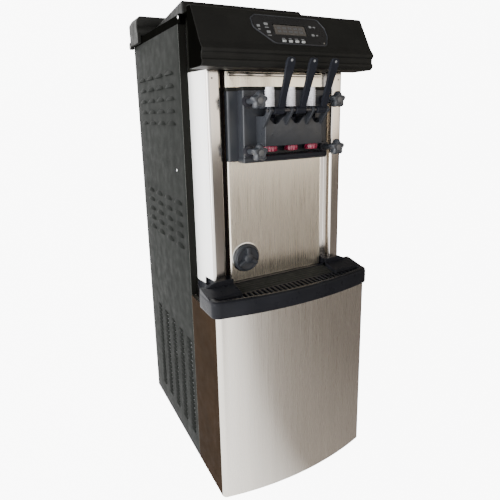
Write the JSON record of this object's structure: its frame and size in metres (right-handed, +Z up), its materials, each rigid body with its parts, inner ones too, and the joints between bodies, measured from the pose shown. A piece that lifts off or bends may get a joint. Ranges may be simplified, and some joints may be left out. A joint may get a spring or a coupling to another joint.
{
  "type": "soft serve machine",
  "caption": "Floor-standing soft serve machine with three levers, bowed stainless lower front, drip tray, sloping control visor and hinged hopper cover.",
  "frame": {"origin": "on the floor under the middle of the machine's overall box", "axes": "+Z up, front faces -Y, +X to the right of someone facing the front"},
  "size_m": [0.572, 0.7652, 1.51],
  "materials": {
    "zinc_steel": "zinc-plated folded sheet",
    "painted_panel": "dark grey-green satin powder coat",
    "brushed_stainless": "vertically brushed stainless sheet",
    "polished_stainless": "bright drawn stainless",
    "black_moulding": "black moulded plastic, satin",
    "tray_black": "black glossy moulding",
    "bezel_black": "black glossy frame",
    "display": "grey liquid-crystal window under clear plastic",
    "button_white": "light translucent key caps",
    "head_black": "charcoal moulded plastic, half gloss",
    "rubber_black": "moulded rubber",
    "knob_black": "black half-gloss moulding",
    "bright_steel": "polished steel",
    "white_plastic": "white food-grade plastic",
    "nozzle_red": "crimson moulded plastic",
    "foam": "cast foam insulation",
    "machine_grey": "turned aluminium",
    "machine_dark": "black paint",
    "fin_aluminium": "thin fins and drawn tube"
  },
  "bodies": {
    "cabinet": {"base_pan": "zinc_steel", "levelling_feet": "rubber_black", "frame": "zinc_steel", "side_panel_left": "painted_panel", "side_panel_right": "painted_panel", "back_panel": "painted_panel", "neck_side_left": "polished_stainless", "neck_side_right": "polished_stainless", "fascia": "brushed_stainless", "lower_front_panel": "brushed_stainless", "tray_surround": "black_moulding", "visor": "black_moulding", "control_bezel": "bezel_black", "display_window": "display", "head_body": "head_black", "head_gaskets": "rubber_black", "head_studs": "bright_steel", "lever_rod": "bright_steel", "nozzle_caps": "nozzle_red", "spout_shroud": "head_black", "drawer_ring": "bright_steel", "roof_frame": "black_moulding", "cover_pins": "bright_steel", "hopper_left": "polished_stainless", "hopper_right": "polished_stainless", "feed_tubes": "white_plastic", "freezing_barrels": "polished_stainless", "barrel_insulation": "foam", "drive_motor": "machine_dark", "drive_belts": "rubber_black", "compressor": "machine_dark", "condenser": "fin_aluminium", "fan_motor": "machine_dark", "control_box": "zinc_steel", "panel_screws": "bright_steel"},
    "drip_pan": {"drip_pan": "tray_black"},
    "drip_grille": {"drip_grille": "tray_black"},
    "drip_drawer": {"drawer_knob": "knob_black", "drawer_trough": "white_plastic"},
    "hopper_cover": {"hopper_cover": "black_moulding"},
    "beater_left": {"beater_left": "white_plastic", "pulley_left": "machine_grey"},
    "beater_right": {"beater_right": "white_plastic", "pulley_right": "machine_grey"},
    "motor_rotor": {"motor_pulley": "machine_grey"},
    "condenser_fan": {"condenser_fan": "machine_dark"},
    "button_1": {"button_1": "button_white"},
    "button_2": {"button_2": "button_white"},
    "button_3": {"button_3": "button_white"},
    "button_4": {"button_4": "button_white"},
    "knob_upper_left": {"knob_upper_left": "knob_black"},
    "knob_upper_right": {"knob_upper_right": "knob_black"},
    "knob_lower_left": {"knob_lower_left": "knob_black"},
    "knob_lower_right": {"knob_lower_right": "knob_black"},
    "lever_left": {"lever_left": "knob_black"},
    "plunger_left": {"plunger_left": "white_plastic"},
    "lever_middle": {"lever_middle": "knob_black"},
    "plunger_middle": {"plunger_middle": "white_plastic"},
    "lever_right": {"lever_right": "knob_black"},
    "plunger_right": {"plunger_right": "white_plastic"}
  },
  "joints": [
    {"name": "drip_pan_lift", "type": "slide", "parent": "cabinet", "child": "drip_pan", "axis": [0, 0, 1], "range_m": [0, 0.042]},
    {"name": "drip_grille_lift", "type": "slide", "parent": "drip_pan", "child": "drip_grille", "axis": [0, 0, 1], "range_m": [0, 0.014]},
    {"name": "drip_drawer_pull", "type": "slide", "parent": "cabinet", "child": "drip_drawer", "axis": [0, -1, 0], "range_m": [0, 0.18]},
    {"name": "hopper_cover_hinge", "type": "hinge", "parent": "cabinet", "child": "hopper_cover", "pos_m": [0, 0.3696, 1.424], "axis": [-1, 0, 0], "range_deg": [0, 75]},
    {"name": "button_1_press", "type": "slide", "parent": "cabinet", "child": "button_1", "axis": [0, 0.8772, -0.4801], "range_m": [0, 0.0015], "stiffness_N_per_m": 300, "springref_m": -0.001},
    {"name": "button_2_press", "type": "slide", "parent": "cabinet", "child": "button_2", "axis": [0, 0.8772, -0.4801], "range_m": [0, 0.0015], "stiffness_N_per_m": 300, "springref_m": -0.001},
    {"name": "button_3_press", "type": "slide", "parent": "cabinet", "child": "button_3", "axis": [0, 0.8772, -0.4801], "range_m": [0, 0.0015], "stiffness_N_per_m": 300, "springref_m": -0.001},
    {"name": "button_4_press", "type": "slide", "parent": "cabinet", "child": "button_4", "axis": [0, 0.8772, -0.4801], "range_m": [0, 0.0015], "stiffness_N_per_m": 300, "springref_m": -0.001},
    {"name": "knob_upper_left_turn", "type": "hinge", "parent": "cabinet", "child": "knob_upper_left", "pos_m": [-0.131, -0.3154, 1.201], "axis": [0, -1, 0], "continuous": true},
    {"name": "knob_upper_right_turn", "type": "hinge", "parent": "cabinet", "child": "knob_upper_right", "pos_m": [0.131, -0.3154, 1.201], "axis": [0, -1, 0], "continuous": true},
    {"name": "knob_lower_left_turn", "type": "hinge", "parent": "cabinet", "child": "knob_lower_left", "pos_m": [-0.131, -0.3154, 1.065], "axis": [0, -1, 0], "continuous": true},
    {"name": "knob_lower_right_turn", "type": "hinge", "parent": "cabinet", "child": "knob_lower_right", "pos_m": [0.131, -0.3154, 1.065], "axis": [0, -1, 0], "continuous": true},
    {"name": "lever_left_pull", "type": "hinge", "parent": "cabinet", "child": "lever_left", "pos_m": [-0.07, -0.3244, 1.176], "axis": [1, 0, 0], "range_deg": [0, 35]},
    {"name": "plunger_left_lift", "type": "slide", "parent": "cabinet", "child": "plunger_left", "axis": [0, 0, 1], "range_m": [0, 0.033]},
    {"name": "lever_middle_pull", "type": "hinge", "parent": "cabinet", "child": "lever_middle", "pos_m": [0, -0.3244, 1.176], "axis": [1, 0, 0], "range_deg": [0, 35]},
    {"name": "plunger_middle_lift", "type": "slide", "parent": "cabinet", "child": "plunger_middle", "axis": [0, 0, 1], "range_m": [0, 0.033]},
    {"name": "lever_right_pull", "type": "hinge", "parent": "cabinet", "child": "lever_right", "pos_m": [0.07, -0.3244, 1.176], "axis": [1, 0, 0], "range_deg": [0, 35]},
    {"name": "plunger_right_lift", "type": "slide", "parent": "cabinet", "child": "plunger_right", "axis": [0, 0, 1], "range_m": [0, 0.033]},
    {"name": "beater_left_spin", "type": "hinge", "parent": "cabinet", "child": "beater_left", "pos_m": [-0.085, 0, 1.135], "axis": [0, -1, 0], "continuous": true},
    {"name": "beater_right_spin", "type": "hinge", "parent": "cabinet", "child": "beater_right", "pos_m": [0.085, 0, 1.135], "axis": [0, -1, 0], "continuous": true},
    {"name": "motor_spin", "type": "hinge", "parent": "cabinet", "child": "motor_rotor", "pos_m": [0, 0, 0.83], "axis": [0, -1, 0], "continuous": true},
    {"name": "condenser_fan_spin", "type": "hinge", "parent": "cabinet", "child": "condenser_fan", "pos_m": [-0.172, 0.1076, 0.245], "axis": [1, 0, 0], "continuous": true}
  ],
  "couplings": [
    {"joint": "plunger_left_lift", "follows": "lever_left_pull", "m_per_rad": 0.052435},
    {"joint": "plunger_middle_lift", "follows": "lever_middle_pull", "m_per_rad": 0.052435},
    {"joint": "plunger_right_lift", "follows": "lever_right_pull", "m_per_rad": 0.052435},
    {"joint": "beater_right_spin", "follows": "beater_left_spin", "ratio": 1},
    {"joint": "motor_spin", "follows": "beater_left_spin", "ratio": 3}
  ]
}
